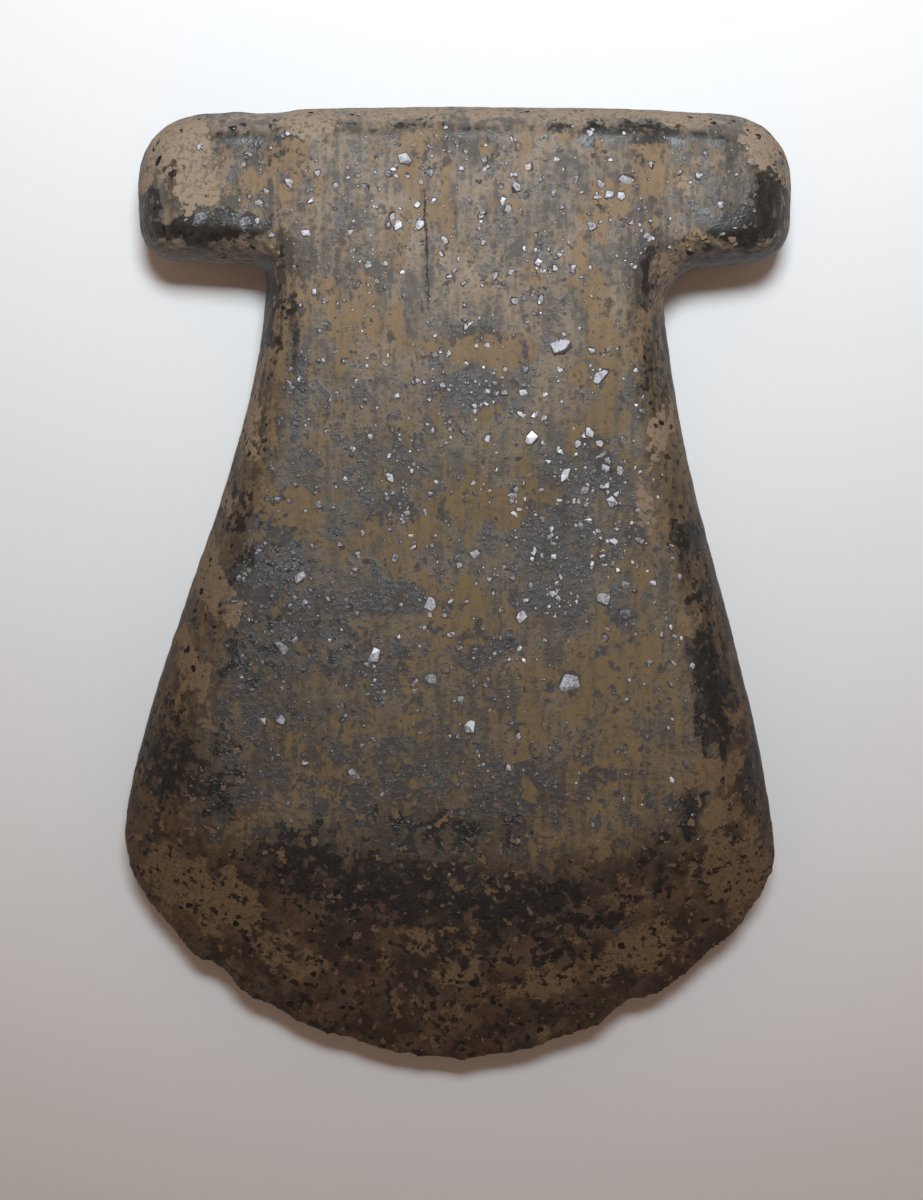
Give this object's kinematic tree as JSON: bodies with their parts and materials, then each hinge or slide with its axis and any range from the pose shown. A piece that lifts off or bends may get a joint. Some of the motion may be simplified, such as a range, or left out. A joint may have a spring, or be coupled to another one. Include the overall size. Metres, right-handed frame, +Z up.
{
  "type": "axe head",
  "caption": "Carved stone axe head, T-shaped, with two side ears at the poll, notches for lashing, a flared blade and a convex cutting edge.",
  "frame": {"origin": "centre of the bounding box's base, on the surface that the stone lies on", "axes": "+Y from the cutting edge to the poll, +X along the ears, +Z up through the thickness"},
  "size_m": [0.1, 0.143, 0.0222],
  "materials": {
    "stone": "ground dark stone with mineral grains and a brown earthy patina"
  },
  "bodies": {
    "root": {"axe_head": "stone"}
  },
  "joints": []
}
